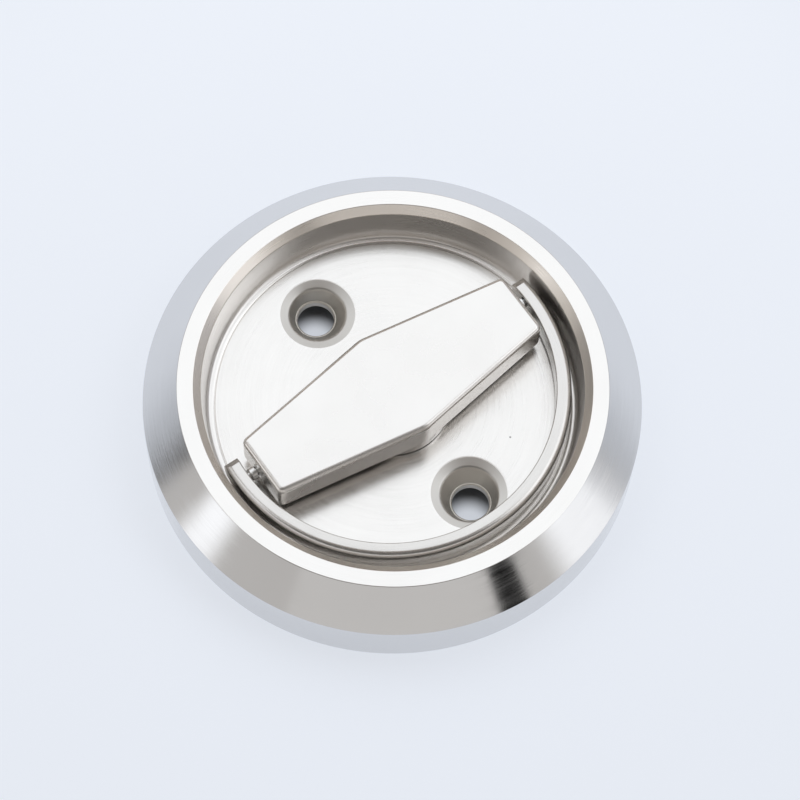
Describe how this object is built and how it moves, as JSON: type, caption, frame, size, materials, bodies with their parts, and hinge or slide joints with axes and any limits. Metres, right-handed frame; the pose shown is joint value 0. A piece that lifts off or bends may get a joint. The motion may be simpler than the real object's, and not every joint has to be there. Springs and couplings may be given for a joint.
{
  "type": "flush pull latch",
  "caption": "Round recessed door pull in stainless steel: a bevelled cup holds a turning centre bar, with a half ring that folds flat in the recess and lifts to pull.",
  "frame": {"origin": "centre of the cup's back face, where it meets the door", "axes": "+Z along the cup's axis, out of the door; the fixing screws sit on Y and the centre bar lies near X; the pull ring lies towards -Y"},
  "size_m": [0.085, 0.085, 0.0163],
  "materials": {
    "cup_steel": "stainless steel, finely turned and satin polished",
    "bar_steel": "stainless steel, satin",
    "ring_steel": "stainless steel, brushed, with polished outer side",
    "pin_steel": "stainless steel, turned",
    "washer_steel": "stainless steel, plain",
    "clip_steel": "spring steel, dark"
  },
  "bodies": {
    "cup": {"cup_body": "cup_steel", "shaft_washer": "washer_steel"},
    "bar": {"turn_bar": "bar_steel", "pivot_pin_left": "pin_steel", "pivot_pin_right": "pin_steel", "retaining_clip": "clip_steel"},
    "ring": {"pull_ring": "ring_steel"}
  },
  "joints": [
    {"name": "bar_turn", "type": "hinge", "parent": "cup", "child": "bar", "pos_m": [0, 0, 0], "axis": [0, 0, 1], "continuous": true},
    {"name": "ring_lift", "type": "hinge", "parent": "bar", "child": "ring", "pos_m": [0.00008, 0.0014, 0.0116], "axis": [-0.9985, 0.0541, 0], "range_deg": [0, 80]}
  ]
}
